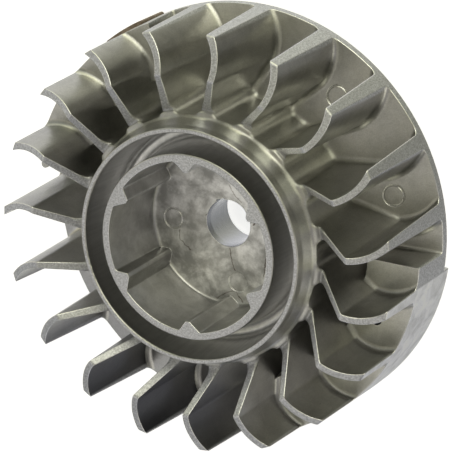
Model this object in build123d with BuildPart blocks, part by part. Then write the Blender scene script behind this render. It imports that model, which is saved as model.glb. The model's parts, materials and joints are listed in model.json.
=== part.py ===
from build123d import *
import math
import os

# Magneto fan flywheel of a chainsaw-size two-stroke engine.
# Origin: crank axis at the rearmost plane. +Z points to the fan side, away from the crankcase.
# Fin 1 lies on +X. Fins and pockets are numbered clockwise as seen from the fan side:
# pocket 1 is the space between fins 1 and 2. Angles are degrees from +X, counter-clockwise.

# --- fan ---------------------------------------------------------------------
FIN_COUNT = 19
FIN_PITCH = 360 / FIN_COUNT
FIN_THICKNESS = 1.4             # at the draft plane, before the draft widens it
FIN_INNER_POINT = (27.0, 3.55)  # centre line of fin 1 seen from the front
FIN_BEND_POINT = (40.5, -2.95)
FIN_TIP_POINT = (50.0, -0.35)
FIN_BEND_RADIUS = 2.5
FIN_SCOOP_RADIUS = 11.8
FIN_OVERRUN = 9.0               # the cutters' fin line runs on past the rim
FIN_TIP_Z = 32.0
FIN_CREST_Z = 35.2
FIN_CREST_RADIUS = 40.5
FIN_FOOT_Z = 26.7
DRAFT_ANGLE = 1.35
DRAFT_PLANE_Z = 36.0

# --- rim, disc and pockets ---------------------------------------------------
TIP_RADIUS = 50.0
RIM_RADIUS = 50.65
RIM_BACK_Z = 2.0
RIM_BACK_INNER = 46.6
FLOOR_RIM_Z = 4.7
FLOOR_HUB_Z = 8.0
DISC_BACK_OUTER = (45.4, 2.3)
DISC_BACK_INNER = (31.6, 4.6)
POCKET_HUB_RADIUS = 29.5        # pocket's inner wall at the draft plane
POCKET_CORNER_RADIUS = 2.6
POCKET_FLOOR_RADIUS = 1.4
END_WALL_RADIUS = 0.8
OUTER_REACH = 55.0              # cutters run past the rim to here

# --- hub, starter cup and crank bore -------------------------------------------
HUB_RING_RADIUS = 28.0
HUB_RING_WALL = 1.15
HUB_RING_Z = 33.65
HUB_NECK = (28.2, 31.4)
HUB_FLANK_RADIUS = 29.3
TAB_Z = 27.8                    # small step at each fin's foot on the hub
TAB_RADIUS = 30.5
GROOVE_INNER = 22.7
GROOVE_OUTER = 26.1
GROOVE_FLOOR_Z = 19.0
CUP_RADIUS = 20.35
CUP_FLOOR_RADIUS = 20.15
CUP_FLOOR_Z = 13.5
CUP_RING_RADIUS = 22.1
CUP_RING_Z = 34.15
BORE_RADIUS = 5.75
BORE_PILOT_LENGTH = 2.0
BORE_TAPER = 0.1                # radius gained per millimetre of depth, a 1:5 taper
HUB_BACK_Z = 1.0
HUB_BOSS_RADIUS = 11.5
HUB_SKIRT_INNER = 27.4
HUB_SKIRT_OUTER = 30.4
HUB_SKIRT_Z = 3.0
GROOVE_ROOF_Z = 14.0
CUP_ROOF_Z = 9.8
RIB_COUNT = 6
RIB_THICKNESS = 2.4
RIB_BACK_Z = 3.8

# --- cast-in key and notch in the bore, marks on the cup floor -------------------
KEY_ANGLE = -150.0
KEY_WIDTH = 2.6
KEY_INNER_RADIUS = 5.57         # leaves room for a round gauge in the pilot
NOTCH_ANGLE = -68.0
NOTCH_WIDTH = 2.2
NOTCH_RADIUS = 6.1
DISH_PLACE = (14.5, 4.1)        # radius and angle
DISH_RADIUS = 2.6
DISC_PLACE = (14.35, 100.7)
DISC_RADIUS = 2.45
MARK_DEPTH = 0.25

# --- starter teeth --------------------------------------------------------------
TOOTH_COUNT = 6
TOOTH_TIP_RADIUS = 17.8
TOOTH_BACKING_RADIUS = 21.0
TOOTH_STEEP_ROOT = 24.0
TOOTH_STEEP_TIP = 29.6
TOOTH_GENTLE_TIP = 32.6
TOOTH_GENTLE_ROOT = 41.5
TOOTH_TIP_ROUNDING = 0.45
TOOTH_ROOT_ROUNDING = 0.8

# --- magnet group ------------------------------------------------------------
POLE_AXIS_ANGLE = -44.15        # middle of the magnet group
POLE_FACE_RADIUS = 51.4
POLE_ROOT_RADIUS = 43.6
POLE_HALF_SPAN = 18.15          # degrees from the group's middle to a shoe's outer end
POLE_CORNER_RADIUS = 0.7
SHEET_COUNT = 10
SHEET_THICKNESS = 1.05
MAGNET_WIDTH = 9.2
MAGNET_INNER = 43.2
MAGNET_OUTER = 48.4
MAGNET_CHAMFER = 0.3
RIVET_RADIUS = 1.2
RIVET_PLACES = ((47.3, 8.4), (45.9, 12.9))  # along and across the group's middle line
HOUSING_HALF_SPAN = 22.0
HOUSING_INNER_RADIUS = 41.5

# --- raised floors and counterweight -----------------------------------------
RAISED_FLOOR_Z = 17.0
RAISED_INNER_RADIUS = 37.5
RAISED_STEP_RUN = 1.5
RAISED_POCKETS = (2, 3, 4, 10, 11, 12, 13)
HOUSING_END_SECTOR = (-67.0, -90.0)   # the deep rest of pocket 4
WEIGHT_START_SECTOR = (178.0, 200.0)  # the deep rest of pocket 10
WEIGHT_SECTOR = (111.0, 172.4)
WEIGHT_INNER_RADIUS = 35.0
BACK_FILL_Z = 4.4               # counterweight and housing reach into the disc to here
BALANCE_HOLE_PLACE = (43.1, 158.4)
BALANCE_HOLE_RADIUS = 1.2
BALANCE_HOLE_DEPTH = 7.0

# --- small cast details on the pocket floors -----------------------------------
PEG_PLACE = (48.6, -9.5)
PEG_RADIUS = 1.2
PEG_Z = 16.5
PIN_MARK_POCKETS = (1, 5, 7, 9, 15, 17, 19)
PIN_MARK_PLACE = (40.3, -12.9)
PIN_MARK_RADIUS = 2.6
PIN_MARK_RING = 0.35


def polar(radius, degrees):
    """Point in the XY plane from its radius and angle."""
    return (radius * math.cos(math.radians(degrees)), radius * math.sin(math.radians(degrees)))


def turned(degrees):
    """Location turned about the crank axis."""
    return Location((0, 0, 0), (0, 0, degrees))


def floor_z(radius):
    """Height of the conical pocket floor."""
    slope = (FLOOR_RIM_Z - FLOOR_HUB_Z) / (RIM_RADIUS - TAB_RADIUS)
    return FLOOR_HUB_Z + slope * (radius - TAB_RADIUS)


def sector(start, end):
    """Long wedge between two angles, as a sketch polygon."""
    reach = 2 * RIM_RADIUS
    return Polygon((0, 0), polar(reach, start), polar(reach, end), align=None, mode=Mode.PRIVATE)


def ring_sector(inner_radius, start, end):
    """Flat piece of a ring from a radius out to the rim, between two angles."""
    with BuildSketch() as piece:
        Circle(RIM_RADIUS)
        Circle(inner_radius, mode=Mode.SUBTRACT)
        add(sector(start, end), mode=Mode.INTERSECT)
    return piece.sketch


os.makedirs("parts", exist_ok=True)

# The casting before its pockets: one closed section, revolved.
SECTION = [
    (BORE_RADIUS, CUP_FLOOR_Z),
    (CUP_FLOOR_RADIUS, CUP_FLOOR_Z),
    (CUP_RADIUS, CUP_RING_Z),
    (CUP_RING_RADIUS, CUP_RING_Z),
    (GROOVE_INNER, GROOVE_FLOOR_Z),
    (GROOVE_OUTER, GROOVE_FLOOR_Z),
    (HUB_RING_RADIUS - HUB_RING_WALL, HUB_RING_Z),
    (HUB_RING_RADIUS, HUB_RING_Z),
    HUB_NECK,
    (HUB_FLANK_RADIUS, TAB_Z),
    (TAB_RADIUS, TAB_Z),
    (TAB_RADIUS + 0.25, FIN_FOOT_Z),
    (FIN_CREST_RADIUS, FIN_CREST_Z),
    (TIP_RADIUS, FIN_TIP_Z),
    (RIM_RADIUS, FLOOR_RIM_Z),
    (RIM_RADIUS, RIM_BACK_Z),
    (RIM_BACK_INNER, RIM_BACK_Z),
    DISC_BACK_OUTER,
    DISC_BACK_INNER,
    (HUB_SKIRT_OUTER, HUB_SKIRT_Z),
    (HUB_SKIRT_INNER, HUB_SKIRT_Z),
    (HUB_SKIRT_INNER - 1, GROOVE_ROOF_Z),
    (GROOVE_INNER - 0.9, GROOVE_ROOF_Z),
    (CUP_FLOOR_RADIUS - 0.8, CUP_ROOF_Z),
    (HUB_BOSS_RADIUS + 0.6, CUP_ROOF_Z),
    (HUB_BOSS_RADIUS, HUB_BACK_Z),
    (BORE_RADIUS + BORE_TAPER * (CUP_FLOOR_Z - BORE_PILOT_LENGTH - HUB_BACK_Z), HUB_BACK_Z),
    (BORE_RADIUS, CUP_FLOOR_Z - BORE_PILOT_LENGTH),
]
# Rounding radius of the section's corners, by place in the list.
SECTION_ROUNDING = {
    0.3: (2, 3, 6, 7),
    0.6: (13, 15, 19, 20, 25),
    0.9: (9, 12, 18, 24),
    1.2: (1,),
    1.6: (4, 5, 21, 22, 23),
    3.0: (8,),
}

with BuildPart() as blank:
    with BuildSketch(Plane.XZ) as blank_section:
        with BuildLine():
            Polyline(*SECTION, close=True)
        make_face()
        for rounding, places in SECTION_ROUNDING.items():
            for place in places:
                corner = blank_section.vertices().sort_by_distance((*SECTION[place], 0))[0]
                fillet(corner, rounding)
    revolve(axis=Axis.Z)

# Fin 1 in plan: a straight inner run, a bend and a scooped outer run.
with BuildLine() as fin_line:
    Line(FIN_INNER_POINT, FIN_BEND_POINT)
    scoop = RadiusArc(FIN_BEND_POINT, FIN_TIP_POINT, -FIN_SCOOP_RADIUS)
    Line(scoop @ 1, scoop @ 1 + (scoop % 1) * FIN_OVERRUN)

with BuildSketch() as fin_plan:
    trace(fin_line.line, line_width=FIN_THICKNESS)
    bend_corners = fin_plan.vertices().sort_by_distance((*FIN_BEND_POINT, 0))[:2]
    fillet(bend_corners, FIN_BEND_RADIUS)

# Pocket 1 in plan at the draft plane.
with BuildSketch() as all_pockets:
    Circle(OUTER_REACH)
    Circle(POCKET_HUB_RADIUS, mode=Mode.SUBTRACT)
    with PolarLocations(0, FIN_COUNT):
        add(fin_plan.sketch, mode=Mode.SUBTRACT)

with BuildSketch() as pocket_plan:
    pocket_middle = polar(TIP_RADIUS, -FIN_PITCH / 2)
    add(all_pockets.faces().sort_by_distance((*pocket_middle, 0))[0])
    hub_corners = pocket_plan.vertices().sort_by(lambda v: math.hypot(v.X, v.Y))[:2]
    fillet(hub_corners, POCKET_CORNER_RADIUS)


def pocket_cutter(floor_outline, limits=None):
    """Drafted space of pocket 1 above a floor given in the radius-height plane, rounded at its foot."""
    with BuildPart() as cutter:
        with BuildSketch(Plane.XY.offset(DRAFT_PLANE_Z)):
            add(pocket_plan.sketch)
        extrude(amount=-DRAFT_PLANE_Z, taper=DRAFT_ANGLE)
        with BuildSketch(Plane.XZ):
            with BuildLine():
                Polyline(*floor_outline, (2 * RIM_RADIUS, DRAFT_PLANE_Z), (0, DRAFT_PLANE_Z), close=True)
            make_face()
        revolve(axis=Axis.Z, mode=Mode.INTERSECT)
        floor = cutter.faces().filter_by(lambda face: face.normal_at().Z < -0.9).sort_by(Axis.Z)[0]
        fillet(floor.edges().filter_by(is_inside_rim), POCKET_FLOOR_RADIUS)
        raised_floors = cutter.faces().filter_by(Axis.Z).filter_by_position(Axis.Z, 0, DRAFT_PLANE_Z - 1)
        if raised_floors:
            walls = raised_floors.edges().filter_by(is_inside_rim).filter_by(is_past_step)
            fillet(walls, POCKET_FLOOR_RADIUS)
        if limits:
            with BuildSketch():
                add(sector(*limits))
            extrude(amount=DRAFT_PLANE_Z, mode=Mode.INTERSECT)
            end_wall = cutter.faces().filter_by(is_radial)[0]
            foot = end_wall.edges().filter_by(lambda edge: edge.center().Z < CUP_FLOOR_Z)
            fillet(foot, END_WALL_RADIUS)
    return cutter.part


def is_inside_rim(edge):
    """True for edges that lie within the casting's outer surface."""
    return math.hypot(edge.center().X, edge.center().Y) < OUTER_REACH - 0.7


def is_past_step(edge):
    """True for edges clear of the step up to a raised floor."""
    return math.hypot(edge.center().X, edge.center().Y) > RAISED_INNER_RADIUS + 1


def is_radial(face):
    """True for flat upright faces whose plane holds the crank axis."""
    normal = face.normal_at()
    return face.geom_type == GeomType.PLANE and abs(normal.Z) < 0.1 and abs(normal.dot(face.center())) < 0.1


deep_floor = [(0, floor_z(0)), (2 * RIM_RADIUS, floor_z(2 * RIM_RADIUS))]
step_foot = RAISED_INNER_RADIUS - RAISED_STEP_RUN
raised_floor = [
    (0, floor_z(0)),
    (step_foot, floor_z(step_foot)),
    (RAISED_INNER_RADIUS, RAISED_FLOOR_Z),
    (2 * RIM_RADIUS, RAISED_FLOOR_Z),
]
deep_pocket = pocket_cutter(deep_floor)
raised_pocket = pocket_cutter(raised_floor)


def pocket_angle(number):
    """Turn that carries pocket 1 onto another pocket."""
    return -FIN_PITCH * (number - 1)


def partly_deep_pocket(number, limits):
    """Deep part of a pocket between two angles, already in place."""
    turn = pocket_angle(number)
    cutter = pocket_cutter(deep_floor, [limit - turn for limit in limits])
    return cutter.moved(turned(turn))


# Starter cup opening with its ratchet teeth, each steep on one side and gentle on the other.
with BuildSketch() as cup_opening:
    Circle(CUP_RADIUS)
    with PolarLocations(0, TOOTH_COUNT):
        Polygon(
            polar(TOOTH_BACKING_RADIUS, TOOTH_STEEP_ROOT),
            polar(TOOTH_TIP_RADIUS, TOOTH_STEEP_TIP),
            polar(TOOTH_TIP_RADIUS, TOOTH_GENTLE_TIP),
            polar(TOOTH_BACKING_RADIUS, TOOTH_GENTLE_ROOT),
            align=None,
            mode=Mode.SUBTRACT,
        )
    tooth_tips = cup_opening.vertices().filter_by(lambda v: math.hypot(v.X, v.Y) < TOOTH_TIP_RADIUS + 0.1)
    fillet(tooth_tips, TOOTH_TIP_ROUNDING)
    tooth_roots = cup_opening.vertices().filter_by(lambda v: math.hypot(v.X, v.Y) > CUP_RADIUS - 0.1)
    fillet(tooth_roots, TOOTH_ROOT_ROUNDING)

with BuildPart() as tooth_ring:
    with BuildSketch(Plane.XY.offset(CUP_FLOOR_Z)):
        Circle(TOOTH_BACKING_RADIUS)
        add(cup_opening.sketch, mode=Mode.SUBTRACT)
    extrude(amount=CUP_RING_Z - CUP_FLOOR_Z)


# Magnet group, drawn about its middle line: the shoes, the magnet and the rivets.
group_plane = Plane(origin=(0, 0, RIM_BACK_Z), x_dir=(*polar(1, POLE_AXIS_ANGLE), 0), z_dir=(0, 0, 1))
stack_height = SHEET_COUNT * SHEET_THICKNESS

with BuildSketch() as shoe_plan:
    Circle(POLE_FACE_RADIUS)
    Circle(POLE_ROOT_RADIUS, mode=Mode.SUBTRACT)
    half_width = MAGNET_WIDTH / 2
    meeting_point = half_width / math.tan(math.radians(POLE_HALF_SPAN))
    far_corner = polar(2 * RIM_RADIUS, POLE_HALF_SPAN)
    Polygon(
        (meeting_point, half_width),
        (far_corner[0], half_width),
        far_corner,
        align=None,
        mode=Mode.INTERSECT,
    )
    fillet(shoe_plan.vertices(), POLE_CORNER_RADIUS)

with BuildSketch() as rivet_plan:
    with Locations(*RIVET_PLACES):
        Circle(RIVET_RADIUS)

with BuildSketch() as magnet_plan:
    with Locations(((MAGNET_INNER + MAGNET_OUTER) / 2, 0)):
        Rectangle(MAGNET_OUTER - MAGNET_INNER, MAGNET_WIDTH)

with BuildPart() as magnet_block:
    with BuildSketch(group_plane):
        add(magnet_plan.sketch)
    extrude(amount=stack_height)
    chamfer(magnet_block.edges().filter_by(Axis.Z), MAGNET_CHAMFER)

# The mould cavity round both shoes and the magnet.
with BuildPart() as pole_cavity:
    with BuildSketch(group_plane):
        add(shoe_plan.sketch)
        mirror(about=Plane.XZ)
    extrude(amount=stack_height)
    add(magnet_block.part)

# One rib across the hub's hollow back, in the plane of its middle.
RIB_OUTLINE = [
    (HUB_BOSS_RADIUS - 1, RIB_BACK_Z),
    (HUB_SKIRT_INNER + 1, RIB_BACK_Z),
    (HUB_SKIRT_INNER + 1, GROOVE_ROOF_Z + 2),
    (GROOVE_INNER, GROOVE_ROOF_Z + 2),
    (CUP_FLOOR_RADIUS, CUP_ROOF_Z + 2),
    (HUB_BOSS_RADIUS - 1, CUP_ROOF_Z + 2),
]
with BuildPart() as rib:
    with BuildSketch(Plane.XZ):
        Polygon(*RIB_OUTLINE, align=None)
    extrude(amount=RIB_THICKNESS / 2, both=True)

with BuildPart() as rotor_casting:
    add(blank.part)
    add(tooth_ring.part)
    with PolarLocations(0, RIB_COUNT):
        add(rib.part)

    # Counterweight and magnet housing fill part of the hollow back out to the rim.
    with BuildSketch():
        add(ring_sector(WEIGHT_INNER_RADIUS, *WEIGHT_SECTOR))
    extrude(amount=BACK_FILL_Z)
    with BuildSketch(Plane.XY.offset(RIM_BACK_Z)):
        housing_ends = (POLE_AXIS_ANGLE - HOUSING_HALF_SPAN, POLE_AXIS_ANGLE + HOUSING_HALF_SPAN)
        add(ring_sector(HOUSING_INNER_RADIUS, *housing_ends))
    extrude(amount=BACK_FILL_Z - RIM_BACK_Z)

    # Pockets between the fins.
    for number in range(1, FIN_COUNT + 1):
        cutter = raised_pocket if number in RAISED_POCKETS else deep_pocket
        with Locations(turned(pocket_angle(number))):
            add(cutter, mode=Mode.SUBTRACT)
    add(partly_deep_pocket(4, HOUSING_END_SECTOR), mode=Mode.SUBTRACT)
    add(partly_deep_pocket(10, WEIGHT_START_SECTOR), mode=Mode.SUBTRACT)

    # Cast-in key and the small notch at the bore's mouth.
    with BuildSketch(Plane.XY.offset(HUB_BACK_Z)):
        with Locations(turned(KEY_ANGLE)):
            with Locations((KEY_INNER_RADIUS + KEY_WIDTH / 2, 0)):
                Rectangle(KEY_WIDTH, KEY_WIDTH)
    extrude(amount=CUP_FLOOR_Z - HUB_BACK_Z)
    with BuildSketch(Plane.XY.offset(CUP_FLOOR_Z)):
        with Locations(turned(NOTCH_ANGLE)):
            with Locations((NOTCH_RADIUS - NOTCH_WIDTH / 2, 0)):
                Rectangle(NOTCH_WIDTH, NOTCH_WIDTH)
    extrude(amount=-BORE_PILOT_LENGTH, mode=Mode.SUBTRACT)

    # Ejector marks on the cup floor: one dished ring, one flat disc.
    with BuildSketch(Plane.XY.offset(CUP_FLOOR_Z)):
        with Locations(polar(*DISH_PLACE)):
            Circle(DISH_RADIUS)
            Circle(DISH_RADIUS - PIN_MARK_RING, mode=Mode.SUBTRACT)
    extrude(amount=-MARK_DEPTH, mode=Mode.SUBTRACT)
    with BuildSketch(Plane.XY.offset(CUP_FLOOR_Z)):
        with Locations(polar(*DISC_PLACE)):
            Circle(DISC_RADIUS)
    extrude(amount=-MARK_DEPTH, mode=Mode.SUBTRACT)

    # Ejector marks on the pocket floors, square to the cone.
    for number in PIN_MARK_POCKETS:
        spot = polar(PIN_MARK_PLACE[0], PIN_MARK_PLACE[1] + pocket_angle(number))
        lean = floor_z(0) - floor_z(1)
        outward = polar(lean, PIN_MARK_PLACE[1] + pocket_angle(number))
        with BuildSketch(Plane(origin=(*spot, floor_z(PIN_MARK_PLACE[0])), z_dir=(*outward, 1))):
            Circle(PIN_MARK_RADIUS)
            Circle(PIN_MARK_RADIUS - PIN_MARK_RING, mode=Mode.SUBTRACT)
        extrude(amount=MARK_DEPTH, both=True, mode=Mode.SUBTRACT)

    # Locating peg in pocket 1 and the balancing drill hole in the counterweight.
    with BuildSketch(Plane.XY.offset(FLOOR_RIM_Z)):
        with Locations(polar(*PEG_PLACE)):
            Circle(PEG_RADIUS)
    extrude(amount=PEG_Z - FLOOR_RIM_Z, taper=DRAFT_ANGLE)
    with BuildSketch(Plane.XY.offset(RAISED_FLOOR_Z)):
        with Locations(polar(*BALANCE_HOLE_PLACE)):
            Circle(BALANCE_HOLE_RADIUS)
    extrude(amount=-BALANCE_HOLE_DEPTH, mode=Mode.SUBTRACT)

    add(pole_cavity.part, mode=Mode.SUBTRACT)

rotor_casting.part.label = "rotor_casting"
export_step(rotor_casting.part, "parts/rotor_casting.step")
magnet_block.part.label = "magnet_block"
export_step(magnet_block.part, "parts/magnet_block.step")

# Each shoe: a stack of punched sheets held by two rivets.
with BuildSketch() as sheet_plan:
    add(shoe_plan.sketch)
    add(rivet_plan.sketch, mode=Mode.SUBTRACT)

sheet_plans = {"trailing": sheet_plan.sketch, "leading": mirror(sheet_plan.sketch, about=Plane.XZ)}
rivet_plans = {"trailing": rivet_plan.sketch, "leading": mirror(rivet_plan.sketch, about=Plane.XZ)}
for shoe, plan in sheet_plans.items():
    for level in range(SHEET_COUNT):
        with BuildPart() as sheet:
            with BuildSketch(group_plane.offset(level * SHEET_THICKNESS)):
                add(plan)
            extrude(amount=SHEET_THICKNESS)
        sheet.part.label = f"{shoe}_pole_sheet_{level + 1}"
        export_step(sheet.part, f"parts/{sheet.part.label}.step")

for shoe, plan in rivet_plans.items():
    with BuildPart() as rivets:
        with BuildSketch(group_plane):
            add(plan)
        extrude(amount=stack_height)
    rivets.part.label = f"{shoe}_pole_rivets"
    export_step(rivets.part, f"parts/{rivets.part.label}.step")
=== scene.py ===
import json
import math

import bpy
from mathutils import Matrix, Vector

# The photograph's viewing angle.
CAMERA_PLACE = Vector((-0.31010, -0.22088, 0.61044))
CAMERA_RIGHT = Vector((-0.8857, -0.0088, -0.4643))
CAMERA_UP = Vector((0.1526, -0.9498, -0.2732))
CAMERA_BACK = Vector((-0.4386, -0.3129, 0.8425))
LENS_MM = 241.8
SENSOR_MM = 36

# Levels and radii on the casting, in metres, that part its finishes, its painted shade and its
# painted highlights.
FRONT_FACE_Z = 0.0333
FIN_FRONT_Z = 0.0265
FIN_FRONT_RADIUS = 0.0306
TURNED_RADIUS = 0.0497
CUP_RADIUS = 0.0204
CUP_LIP_Z = (0.0335, 0.0340)
CUP_FLOOR_Z = 0.0135
BORE_RADIUS = 0.0073
GROOVE_RADII = (0.0222, 0.0269)
HUB_FOOT_RADIUS = 0.0286
HUB_FOOT_END = (0.0325, 0.0335)
HUB_FOOT_TOP_Z = (0.0325, 0.0330)
SHADED_FIN_INNER_RADIUS = 0.032
LOW_FLOOR_Z = (0.0160, 0.0165)
LOW_FLOOR_RADIUS = 0.034

# Azimuths in degrees: the fins with painted shade, how far from there full and no painted shade
# lie, and the two ends of the counterweight.
SHADED_FIN_ANGLE = 68
SHADED_FIN_REACH = (23, 34)
WEIGHT_ANGLES = (111.0, 172.4)

# Hairline cracks and seams on the cup floor, as (x, y) points in millimetres.
CRACKS = (
    ((-0.4, 6.1), (-0.9, 8.6), (-1.8, 11.4)),
    ((13.1, 3.7), (12.7, 6.2), (9.8, 8.2)),
    ((-6.3, -0.5), (-7.7, -1.9), (-9.5, 0.8), (-10.1, 6.2), (-9.4, 11.8)),
    ((-0.3, -9.2), (-1.5, -7.0), (-3.3, -5.6)),
    ((2.9, 19.0), (-0.0, 17.0), (-2.0, 16.2), (-4.0, 19.0)),
    ((5.9, -1.0), (3.3, -4.8), (2.3, -4.1)),
)
CRACK_WIDTH = 0.00016
CRACK_WANDER = 0.0011

# Shading of edges and surface, in metres where a length.
EDGE_RADIUS = 0.00035
HUB_FOOT_EDGE_RADIUS = 0.0012
HOLLOW_SHADE_REACH = 0.004
CAST_BUMP = (0.22, 0.0003)
METAL_EDGE_RADIUS = 0.00015
METAL_BUMP = (0.2, 0.0002)

# Soft studio light: broad lobes as (azimuth, elevation, colour).
LOBE_SHARPNESS = 12.0
LIGHTS = (
    (72, 58, (1.03, 1.00, 0.92)),
    (-144, 58, (0.12, 0.12, 0.03)),
    (144, 58, (0.47, 0.45, 0.41)),
    (0, 58, (0.44, 0.41, 0.28)),
    (-108, 32, (2.46, 2.42, 2.08)),
    (-36, 32, (0.18, 0.21, 0.20)),
    (36, 32, (0.16, 0.17, 0.23)),
    (180, 32, (0.03, 0.02, 0.12)),
    (-144, 27, (0.22, 0.22, 0.08)),
    (0, 27, (0.35, 0.35, 0.43)),
    (-126, 0, (1.42, 1.43, 1.10)),
    (-90, 0, (1.41, 1.42, 0.85)),
    (-54, 0, (0.43, 0.45, 0.40)),
    (-18, 0, (0.72, 0.66, 0.46)),
    (18, 0, (0.49, 0.49, 0.39)),
    (54, 0, (0.11, 0.11, 0.08)),
    (90, 0, (0.76, 0.77, 0.78)),
    (162, 0, (1.30, 1.27, 1.05)),
    (-36, -27, (0.36, 0.37, 0.33)),
    (-108, -27, (0.11, 0.12, 0.14)),
    (108, -27, (0.10, 0.10, 0.15)),
    (144, -32, (0.55, 0.55, 0.56)),
    (-72, -32, (0.99, 0.99, 0.90)),
    (-36, -58, (0.25, 0.24, 0.28)),
    (36, -58, (1.43, 1.42, 1.34)),
    (-108, -58, (0.12, 0.11, 0.05)),
    (0, -90, (0.63, 0.63, 0.60)),
)

FLOOR_HALF = 3.0
FLOOR_GAP = 0.0004
FLOOR_GLOW = 0.72
WHITE = (1, 1, 1, 1)

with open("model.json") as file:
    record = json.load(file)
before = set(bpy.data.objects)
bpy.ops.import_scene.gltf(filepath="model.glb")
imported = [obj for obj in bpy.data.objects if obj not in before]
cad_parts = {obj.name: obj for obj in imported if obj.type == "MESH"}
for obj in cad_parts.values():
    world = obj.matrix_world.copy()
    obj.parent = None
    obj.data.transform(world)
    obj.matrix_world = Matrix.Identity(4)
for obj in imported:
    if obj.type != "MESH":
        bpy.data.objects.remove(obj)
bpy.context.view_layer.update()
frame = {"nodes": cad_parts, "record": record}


class Nodes:
    """Short way to build a shader's node tree."""

    def __init__(self, owner):
        owner.use_nodes = True
        self.owner = owner
        self.tree = owner.node_tree
        self.tree.nodes.clear()

    def add(self, kind, inputs=None, **settings):
        node = self.tree.nodes.new("ShaderNode" + kind)
        for key, value in settings.items():
            setattr(node, key, value)
        for key, value in (inputs or {}).items():
            self.feed(node.inputs[key], value)
        return node

    def feed(self, socket, value):
        if isinstance(value, bpy.types.NodeSocket):
            self.tree.links.new(value, socket)
        else:
            socket.default_value = value

    def math(self, operation, a, b=0.0, c=0.0):
        return self.add("Math", {0: a, 1: b, 2: c}, operation=operation).outputs[0]

    def vector(self, operation, a, b, output=0):
        return self.add("VectorMath", {0: a, 1: b}, operation=operation).outputs[output]

    def scaled(self, a, factor):
        return self.add("VectorMath", {0: a, "Scale": factor}, operation="SCALE").outputs[0]

    def noise(self, vector, scale, detail=4.0, roughness=0.55, distortion=0.0):
        inputs = {
            "Vector": vector, "Scale": scale, "Detail": detail,
            "Roughness": roughness, "Distortion": distortion,
        }
        return self.add("TexNoise", inputs).outputs["Fac"]

    def span(self, value, low, high, to_low=0.0, to_high=1.0):
        """Map low..high to to_low..to_high, clamped; low may be the larger."""
        inputs = {
            "Value": value, "From Min": low, "From Max": high,
            "To Min": to_low, "To Max": to_high,
        }
        return self.add("MapRange", inputs).outputs["Result"]

    def above(self, value, level, blur):
        return self.span(value, level - blur, level + blur)

    def both(self, *masks):
        result = masks[0]
        for mask in masks[1:]:
            result = self.math("MULTIPLY", result, mask)
        return result

    def either(self, *masks):
        result = masks[0]
        for mask in masks[1:]:
            result = self.math("MAXIMUM", result, mask)
        return result

    def mix(self, factor, a, b):
        node = self.add("Mix", data_type="RGBA")
        for place, value in ((0, factor), (6, a), (7, b)):
            self.feed(node.inputs[place], value)
        return node.outputs[2]

    def mix_value(self, factor, a, b):
        node = self.add("Mix", data_type="FLOAT")
        for place, value in ((0, factor), (2, a), (3, b)):
            self.feed(node.inputs[place], value)
        return node.outputs[0]

    def near_line(self, place, points, width):
        """Mask that is 1 on a line through points given in millimetres."""
        mask = 0.0
        for (ax, ay), (bx, by) in zip(points, points[1:]):
            start = Vector((ax, ay, 0)) / 1000
            along = Vector((bx - ax, by - ay, 0)) / 1000
            from_start = self.vector("SUBTRACT", place, start)
            share = self.vector("DOT_PRODUCT", from_start, along / along.length_squared, "Value")
            share = self.span(share, 0.0, 1.0)
            nearest = self.scaled(along, share)
            gap = self.vector("DISTANCE", from_start, nearest, "Value")
            mask = self.math("MAXIMUM", mask, self.span(gap, width, width * 0.4))
        return mask

    def close(self, shader, kind="OutputMaterial"):
        output = self.add(kind)
        self.tree.links.new(shader, output.inputs["Surface"])
        return self.owner

    def metal(self, colour, roughness, height, bump, normal):
        """End the tree with a metal whose bump is (strength, distance)."""
        strength, distance = bump
        raised = self.add("Bump", {
            "Height": height, "Strength": strength, "Distance": distance, "Normal": normal,
        }).outputs["Normal"]
        shader = self.add("BsdfPrincipled", {
            "Base Color": colour, "Metallic": 1.0, "Roughness": roughness, "Normal": raised,
        })
        return self.close(shader.outputs["BSDF"])


def new_material(name):
    return Nodes(bpy.data.materials.new(name))


def grey(level, warmth=0.0):
    """Olive-tinted grey in linear light."""
    return (level * (1 + warmth * 0.2), level, level * (1 - warmth), 1)


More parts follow.
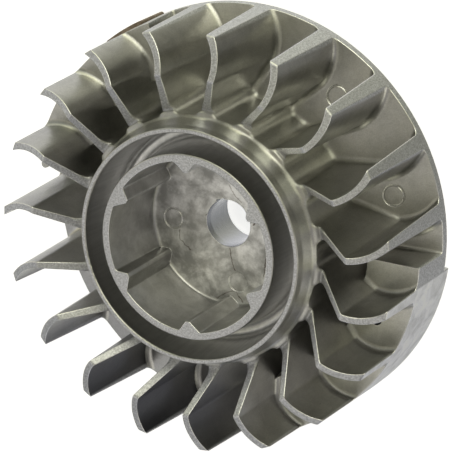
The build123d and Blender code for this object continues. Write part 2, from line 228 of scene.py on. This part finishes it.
def cast_aluminium():
    """Die-cast skin with trimmed faces, turned rim, stained cup, painted shade and painted edge
    highlights.
    """
    n = new_material("cast_aluminium")
    geometry = n.add("NewGeometry")
    place, normal = geometry.outputs["Position"], geometry.outputs["Normal"]
    x, y, z = n.add("SeparateXYZ", {0: place}).outputs
    radius = n.math("SQRT", n.math("ADD", n.math("MULTIPLY", x, x), n.math("MULTIPLY", y, y)))
    facing = n.add("SeparateXYZ", {0: normal}).outputs[2]

    # Where each finish lies: masks from 0 to 1.
    front_faces = n.both(n.above(z, FRONT_FACE_Z, 0.0001), n.above(facing, 0.97, 0.02))
    fin_fronts = n.both(
        n.above(z, FIN_FRONT_Z, 0.0002), n.above(facing, 0.6, 0.05),
        n.above(radius, FIN_FRONT_RADIUS, 0.0001),
    )
    upright = n.span(n.math("ABSOLUTE", facing), 0.35, 0.25)
    turned = n.both(n.above(radius, TURNED_RADIUS, 0.0002), upright)
    trimmed = n.either(front_faces, fin_fronts, turned)
    lip_low, lip_high = CUP_LIP_Z
    in_cup = n.both(n.span(radius, CUP_RADIUS + 0.0002, CUP_RADIUS), n.span(z, lip_high, lip_low))
    cup_floor = n.both(
        in_cup, n.above(facing, 0.9, 0.05), n.above(z, CUP_FLOOR_Z - 0.001, 0.0003)
    )
    bore = n.both(n.span(radius, BORE_RADIUS + 0.0003, BORE_RADIUS), upright)
    groove_inner, groove_outer = GROOVE_RADII
    groove = n.both(
        n.above(radius, groove_inner, 0.0001), n.span(radius, groove_outer, groove_outer - 0.0002)
    )
    angle = n.math("MULTIPLY", n.math("ARCTAN2", y, x), 180 / math.pi)
    # Painted shade: fin walls around one azimuth get a near-black colour that stands in for the
    # dark they reflect.
    from_shaded_fins = n.math("ABSOLUTE", n.math("SUBTRACT", angle, SHADED_FIN_ANGLE))
    shade_full, shade_none = SHADED_FIN_REACH
    painted_fin_shade = n.both(
        n.span(from_shaded_fins, shade_none, shade_full), n.above(radius, SHADED_FIN_INNER_RADIUS, 0.002), upright
    )
    weight_start, weight_end = WEIGHT_ANGLES
    weight = n.both(
        n.above(angle, weight_start, 0.3), n.span(angle, weight_end, weight_end - 0.5)
    )
    low_full, low_none = LOW_FLOOR_Z
    low_floor = n.both(
        n.span(z, low_none, low_full), n.above(facing, 0.7, 0.1),
        n.above(radius, LOW_FLOOR_RADIUS, 0.001),
    )
    # The raised floors between the counterweight's ends are painted darker.
    darkened_weight_floor = n.both(weight, low_floor)

    # Patterns, from broad tone to fine grain.
    cloud = n.noise(place, 75, 4)
    blotch = n.noise(place, 210, 6, 0.65, 0.6)
    mottle = n.noise(place, 150, 7, 0.66, 0.25)
    flat_place = n.vector("MULTIPLY", place, (1, 1, 0))
    wander = n.add("TexNoise", {"Vector": place, "Scale": 900, "Detail": 3}).outputs["Color"]
    wander = n.vector("SUBTRACT", wander, (0.5, 0.5, 0.5))
    wander = n.vector("MULTIPLY", wander, (CRACK_WANDER, CRACK_WANDER, 0))
    crooked = n.vector("ADD", flat_place, wander)
    crack = n.either(*(n.near_line(crooked, points, CRACK_WIDTH) for points in CRACKS))
    grain = n.noise(place, 3600, 2, 0.6)
    streak_place = n.add("Mapping", {"Vector": place, "Scale": (1, 1, 0.08)}).outputs[0]
    streak = n.noise(streak_place, 900, 3, 0.6)

    # Colour: cast skin, then painted shade on the fins near one azimuth, darker raised floors at
    # the counterweight, cup, groove, cut faces, a painted highlight on the counterweight's rim,
    # and bore.
    skin = n.mix(n.span(cloud, 0.3, 0.7), grey(0.48, 0.02), grey(0.62, 0.05))
    skin = n.mix(n.span(blotch, 0.45, 0.8, 0.0, 0.5), skin, grey(0.30, 0.04))
    skin = n.mix(n.span(streak, 0.5, 0.85, 0.0, 0.35), skin, grey(0.70, -0.02))
    skin = n.mix(n.span(grain, 0.35, 0.75, 0.0, 0.35), skin, grey(0.24, 0.0))
    skin = n.mix(n.math("MULTIPLY", painted_fin_shade, 0.92), skin, grey(0.075, -0.12))
    skin = n.mix(n.math("MULTIPLY", darkened_weight_floor, 0.5), skin, grey(0.22, 0.04))
    cup_skin = n.mix(n.span(mottle, 0.40, 0.60), (0.47, 0.47, 0.475, 1), (0.92, 0.92, 0.94, 1))
    cup_skin = n.mix(n.span(blotch, 0.48, 0.72, 0.0, 0.7), cup_skin, (0.42, 0.415, 0.41, 1))
    crack_depth = n.math("MULTIPLY", crack, n.span(blotch, 0.35, 0.6, 0.35, 0.85))
    cup_skin = n.mix(crack_depth, cup_skin, (0.10, 0.07, 0.05, 1))
    skin = n.mix(n.math("MULTIPLY", in_cup, 0.25), skin, cup_skin)
    skin = n.mix(cup_floor, skin, cup_skin)
    skin = n.mix(groove, skin, n.mix(streak, grey(0.52, 0.0), grey(0.86, 0.0)))
    cut_tone = n.span(n.noise(place, 2400, 3, 0.7), 0.35, 0.65)
    cut = n.mix(cut_tone, grey(0.41, -0.04), grey(0.72, -0.04))
    skin = n.mix(trimmed, skin, cut)
    # Painted highlight: the turned rim along the counterweight is painted lighter than the other
    # turned faces.
    lit_weight_rim = n.both(turned, weight)
    rim_highlight_skin = n.mix(n.span(blotch, 0.4, 0.65), grey(1.0, -0.03), grey(0.74, -0.02))
    skin = n.mix(lit_weight_rim, skin, rim_highlight_skin)
    skin = n.mix(bore, skin, (0.60, 0.62, 0.66, 1))

    # Edges rounded in shading, wider at the foot of the hub; elsewhere a painted highlight, a
    # bright colour, runs along the edges.
    foot_full, foot_none = HUB_FOOT_END
    top_full, top_none = HUB_FOOT_TOP_Z
    near_hub = n.both(
        n.above(radius, HUB_FOOT_RADIUS, 0.0003), n.span(radius, foot_none, foot_full),
        n.span(z, top_none, top_full),
    )
    edge_radius = n.mix_value(near_hub, EDGE_RADIUS, HUB_FOOT_EDGE_RADIUS)
    soft_normal = n.add("Bevel", {"Radius": edge_radius}, samples=8).outputs["Normal"]
    turn = n.vector("DOT_PRODUCT", soft_normal, normal, "Value")
    painted_edge_highlight = n.both(n.span(turn, 0.985, 0.88, 0.0, 0.9), n.math("SUBTRACT", 1.0, near_hub))
    # Painted highlight: edges away from the hub foot are painted near white.
    skin = n.mix(painted_edge_highlight, skin, grey(1.0, 0.0))
    # Painted shade: the colour darkens in hollows and corners found by ambient occlusion.
    painted_hollow_shade = n.add(
        "AmbientOcclusion", {"Distance": HOLLOW_SHADE_REACH}, samples=8, only_local=True
    ).outputs["AO"]
    skin = n.mix(n.span(painted_hollow_shade, 0.55, 0.15, 0.0, 0.3), skin, grey(0.18, 0.05))

    rough = n.span(grain, 0.25, 0.75, 0.27, 0.38)
    rough = n.mix_value(cup_floor, rough, n.span(mottle, 0.3, 0.7, 0.62, 0.42))
    rough = n.mix_value(trimmed, rough, n.span(grain, 0.25, 0.75, 0.42, 0.6))
    rough = n.mix_value(bore, rough, 0.25)
    rough = n.mix_value(painted_edge_highlight, rough, 0.24)
    height = n.math("MULTIPLY_ADD", blotch, 0.7, n.math("MULTIPLY", grain, 0.35))
    return n.metal(skin, rough, height, CAST_BUMP, soft_normal)


def plain_metal(name, low, high, roughness, scale, stretch=(1, 1, 1)):
    """Metal with a cloudy tone, fine grain and softly lit edges."""
    n = new_material(name)
    place = n.add("NewGeometry").outputs["Position"]
    place = n.add("Mapping", {"Vector": place, "Scale": stretch}).outputs[0]
    tone = n.noise(place, scale, 5)
    grain = n.noise(place, 4000, 2)
    colour = n.mix(n.span(tone, 0.3, 0.7), low, high)
    rough = n.span(grain, 0.2, 0.8, roughness - 0.08, roughness + 0.08)
    height = n.math("MULTIPLY_ADD", tone, 0.6, n.math("MULTIPLY", grain, 0.4))
    soft_normal = n.add("Bevel", {"Radius": METAL_EDGE_RADIUS}, samples=4).outputs["Normal"]
    return n.metal(colour, rough, height, METAL_BUMP, soft_normal)


MATERIALS = {
    "cast_aluminium": cast_aluminium(),
    "lamination_steel": plain_metal(
        "lamination_steel", (0.15, 0.115, 0.085, 1), (0.32, 0.265, 0.20, 1), 0.42, 700, (1, 1, 3)
    ),
    "magnet": plain_metal("magnet", (0.10, 0.10, 0.11, 1), (0.17, 0.17, 0.18, 1), 0.6, 1200),
    "rivet_steel": plain_metal(
        "rivet_steel", (0.40, 0.40, 0.41, 1), (0.55, 0.55, 0.55, 1), 0.35, 800
    ),
}
slots = {entry["node"]: entry["material_slot"] for entry in frame["record"]["subparts"]}
for name, node in frame["nodes"].items():
    node.data.materials.clear()
    node.data.materials.append(MATERIALS[slots[name]])


def studio_floor():
    """Pale floor seen by the camera only; it casts and reflects nothing on the part."""
    signs = ((-1, -1), (1, -1), (1, 1), (-1, 1))
    corners = [(sx * FLOOR_HALF, sy * FLOOR_HALF, -FLOOR_GAP) for sx, sy in signs]
    mesh = bpy.data.meshes.new("floor")
    mesh.from_pydata(corners, [], [(0, 1, 2, 3)])
    floor = bpy.data.objects.new("floor", mesh)
    bpy.context.scene.collection.objects.link(floor)
    n = new_material("floor")
    shader = n.add("BsdfPrincipled", {
        "Base Color": (0.85, 0.85, 0.85, 1), "Roughness": 0.9,
        "Emission Color": WHITE, "Emission Strength": FLOOR_GLOW,
    })
    mesh.materials.append(n.close(shader.outputs["BSDF"]))
    floor.visible_glossy = False
    floor.visible_diffuse = False
    floor.visible_shadow = False


def direction(azimuth, elevation):
    a, e = math.radians(azimuth), math.radians(elevation)
    return (math.cos(e) * math.cos(a), math.cos(e) * math.sin(a), math.sin(e))


def studio_world():
    """White to the camera; soft lobes of light to everything else."""
    world = bpy.data.worlds.new("studio")
    bpy.context.scene.world = world
    n = Nodes(world)
    view = n.add("TexCoord").outputs["Generated"]
    total = None
    for azimuth, elevation, colour in LIGHTS:
        lean = n.vector("DOT_PRODUCT", view, direction(azimuth, elevation), "Value")
        exponent = n.math("MULTIPLY_ADD", lean, LOBE_SHARPNESS, -LOBE_SHARPNESS)
        lobe = n.scaled(colour, n.math("EXPONENT", exponent))
        total = lobe if total is None else n.vector("ADD", total, lobe)
    seen = n.add("LightPath").outputs["Is Camera Ray"]
    shader = n.add("Background", {"Color": n.mix(seen, total, WHITE), "Strength": 1.0})
    n.close(shader.outputs[0], "OutputWorld")


def photo_camera():
    """Camera at the place, turn and lens of the photograph."""
    data = bpy.data.cameras.new("camera")
    data.sensor_width = SENSOR_MM
    data.lens = LENS_MM
    camera = bpy.data.objects.new("camera", data)
    bpy.context.scene.collection.objects.link(camera)
    axes = Matrix((CAMERA_RIGHT, CAMERA_UP, CAMERA_BACK)).transposed().to_4x4()
    camera.matrix_world = Matrix.Translation(CAMERA_PLACE) @ axes
    bpy.context.scene.camera = camera


studio_floor()
studio_world()
photo_camera()
bpy.context.scene.view_settings.view_transform = "Standard"
